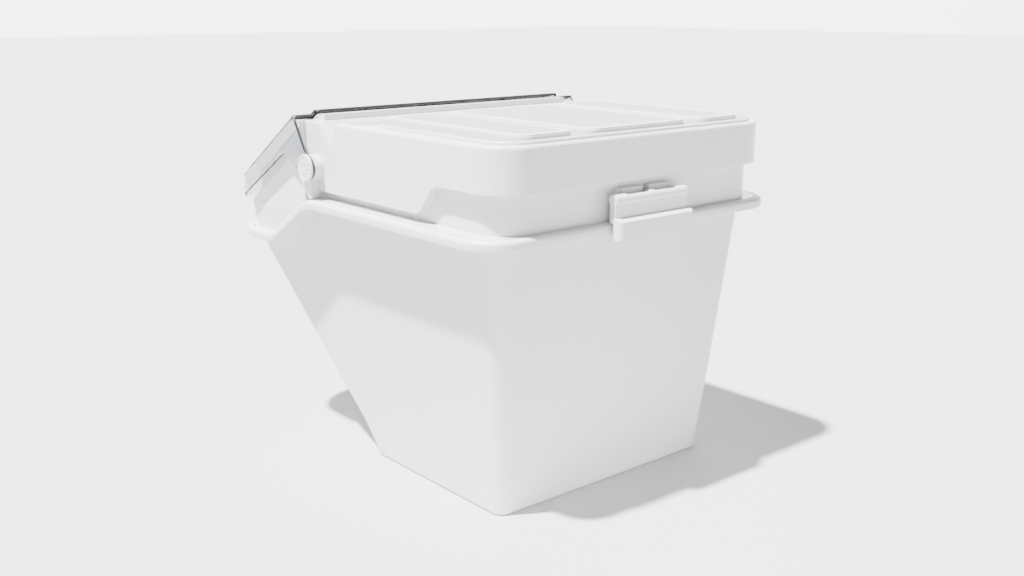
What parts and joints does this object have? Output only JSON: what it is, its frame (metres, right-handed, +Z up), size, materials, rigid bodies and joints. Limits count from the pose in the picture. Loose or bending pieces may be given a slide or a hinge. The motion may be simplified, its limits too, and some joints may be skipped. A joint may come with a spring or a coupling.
{
  "type": "rice bin with flip lid",
  "caption": "White moulded rice bin with a sloping front, a fixed cover with a spout, a clear flip lid over the spout and a snap latch at the back.",
  "frame": {"origin": "middle of the bounding box, on the plane of the base's underside", "axes": "+Z up, -Y towards the spout and its flip lid (the front), +Y towards the latch (the back), +X across the width"},
  "size_m": [0.3864, 0.4766, 0.361],
  "materials": {
    "bin_plastic": "white translucent-looking moulded polypropylene, satin",
    "cover_plastic": "white moulded polypropylene, soft gloss",
    "clear_plastic": "clear, slightly smoky moulded plastic"
  },
  "bodies": {
    "bin": {"bin_body": "bin_plastic", "cover": "cover_plastic", "pivot_button_left": "cover_plastic", "pivot_button_right": "cover_plastic"},
    "flip_lid": {"flip_lid": "clear_plastic"},
    "rear_latch": {"rear_latch": "cover_plastic"}
  },
  "joints": [
    {"name": "flip_lid_hinge", "type": "hinge", "parent": "bin", "child": "flip_lid", "pos_m": [0, -0.06196, 0.3076], "axis": [-1, 0, 0], "range_deg": [0, 64]},
    {"name": "rear_latch_hinge", "type": "hinge", "parent": "bin", "child": "rear_latch", "pos_m": [0, 0.22578, 0.2968], "axis": [1, 0, 0], "range_deg": [0, 90]}
  ]
}
